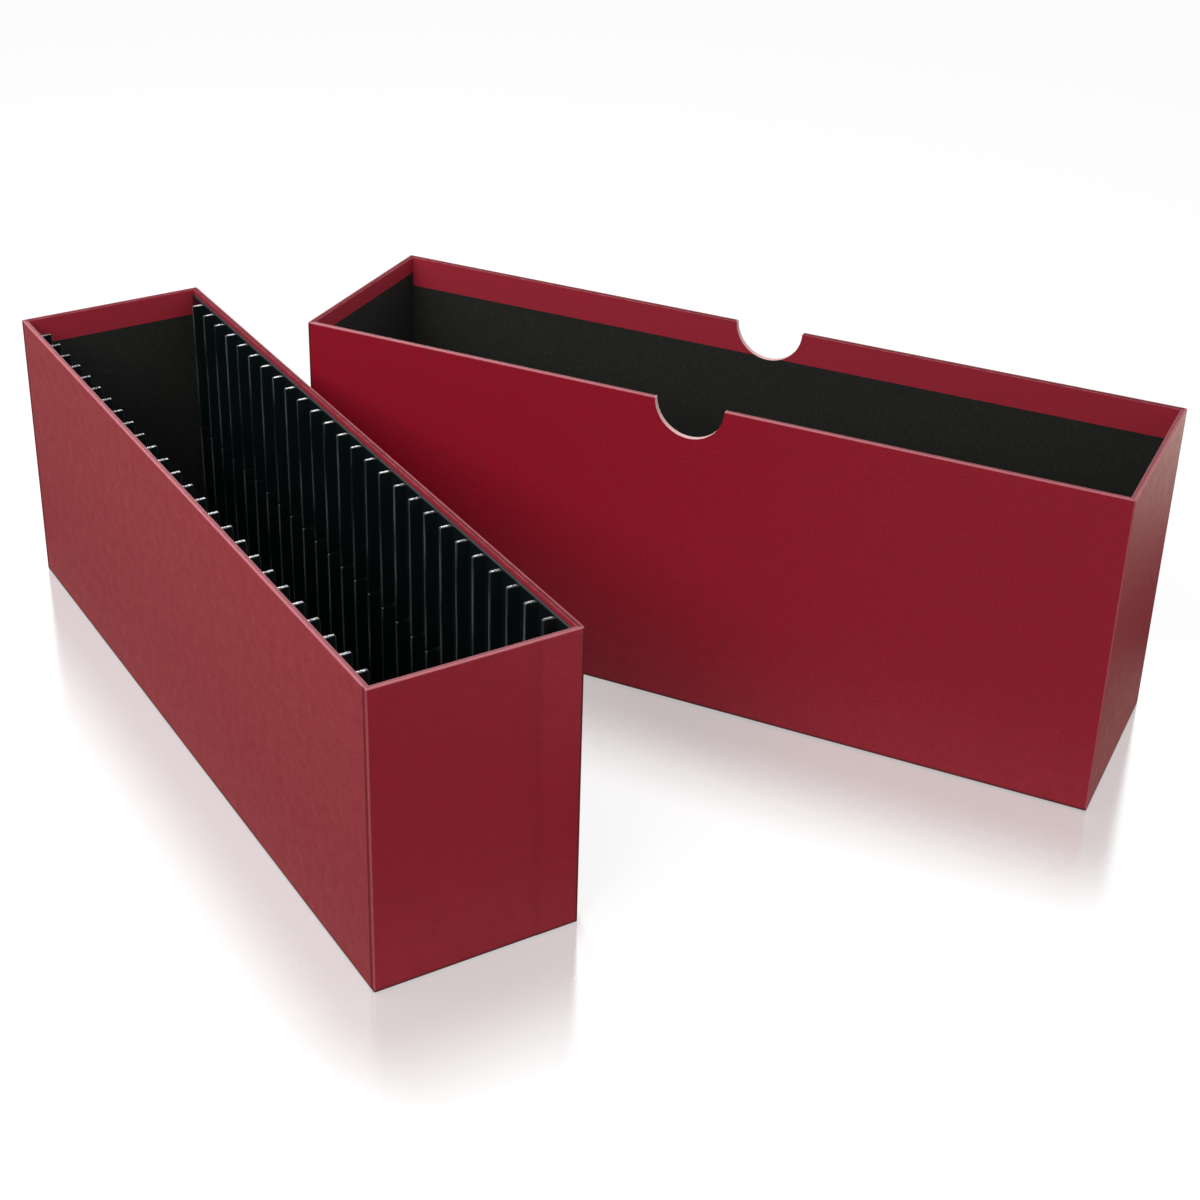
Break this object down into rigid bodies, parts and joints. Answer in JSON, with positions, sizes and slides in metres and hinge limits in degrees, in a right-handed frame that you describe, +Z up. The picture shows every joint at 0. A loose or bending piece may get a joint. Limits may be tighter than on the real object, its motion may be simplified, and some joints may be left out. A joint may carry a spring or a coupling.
{
  "type": "graded card storage box",
  "caption": "Burgundy rigid tray with ribbed rails that hold graded cards upright, and its full-depth slip-on cover with thumb notches, standing beside it.",
  "frame": {"origin": "centre of the tray's underside, on the surface that both boxes stand on", "axes": "+Z up; +Y along the tray from its front end (nearest the picture's camera) to its rear end; +X from its left rail to its right rail, towards the cover"},
  "size_m": [0.4011, 0.4185, 0.151],
  "materials": {
    "burgundy_leatherette": "satin fine-grain leatherette paper",
    "black_paper": "matt black lining paper",
    "greyboard": "raw pale board",
    "stay_tape": "brown kraft tape",
    "black_plastic": "glossy moulded black"
  },
  "bodies": {
    "tray": {"tray_floor_board": "greyboard", "tray_left_board": "greyboard", "tray_right_board": "greyboard", "tray_front_board": "greyboard", "tray_rear_board": "greyboard", "tray_corner_stays": "stay_tape", "tray_wall_wrap": "burgundy_leatherette", "tray_base_sheet": "burgundy_leatherette", "tray_wall_lining": "black_paper", "tray_floor_lining": "black_paper", "left_rail": "black_plastic", "left_lower_rail": "black_plastic", "right_rail": "black_plastic", "right_lower_rail": "black_plastic"},
    "cover": {"cover_closed_end_board": "greyboard", "cover_near_side_board": "greyboard", "cover_far_side_board": "greyboard", "cover_right_end_board": "greyboard", "cover_left_end_board": "greyboard", "cover_corner_stays": "stay_tape", "cover_wall_wrap": "burgundy_leatherette", "cover_closed_end_sheet": "burgundy_leatherette", "cover_wall_lining": "black_paper", "cover_closed_end_lining": "black_paper"}
  },
  "joints": [
    {"name": "cover_lift", "type": "slide", "parent": "tray", "child": "cover", "axis": [0, 0, 1], "range_m": [0, 0.16]}
  ]
}
